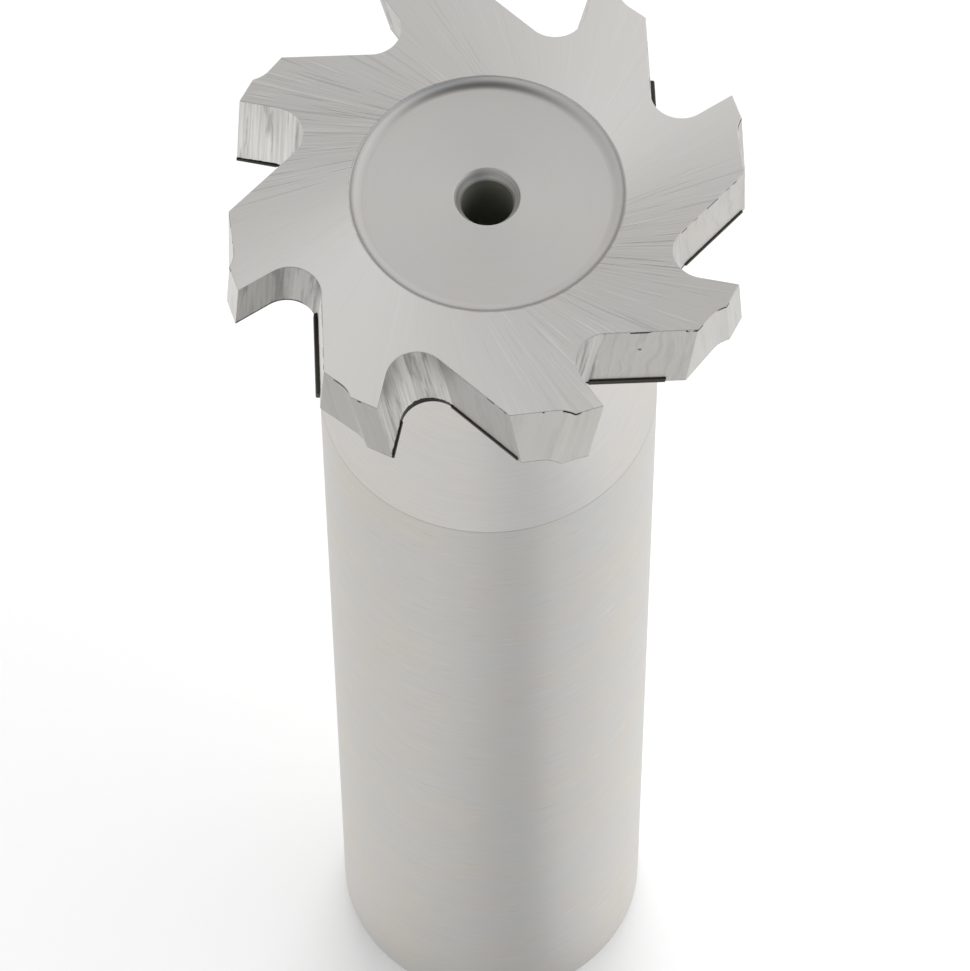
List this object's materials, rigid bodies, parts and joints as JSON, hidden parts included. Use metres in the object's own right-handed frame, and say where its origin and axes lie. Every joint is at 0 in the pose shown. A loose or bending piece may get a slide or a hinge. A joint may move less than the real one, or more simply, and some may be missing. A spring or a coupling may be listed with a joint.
{
  "type": "woodruff keyseat cutter",
  "caption": "One-piece Woodruff keyseat cutter: plain round shank, cone and thin neck, and a narrow disc head with staggered ground teeth that mills half-round key slots in shafts.",
  "frame": {"origin": "centre of the shank's end face, which the cutter stands on", "axes": "+Z along the cutter's axis, from the shank's end to the cutting head; +X half way between two cutting edges at the middle of the head's width; the cutter turns from +X towards +Y when it cuts, seen from the head's end"},
  "size_m": [0.0188, 0.0188, 0.0556],
  "materials": {
    "tool_steel": "bright ground, with fine grinding lines"
  },
  "bodies": {
    "root": {"keyseat_cutter": "tool_steel"}
  },
  "joints": []
}
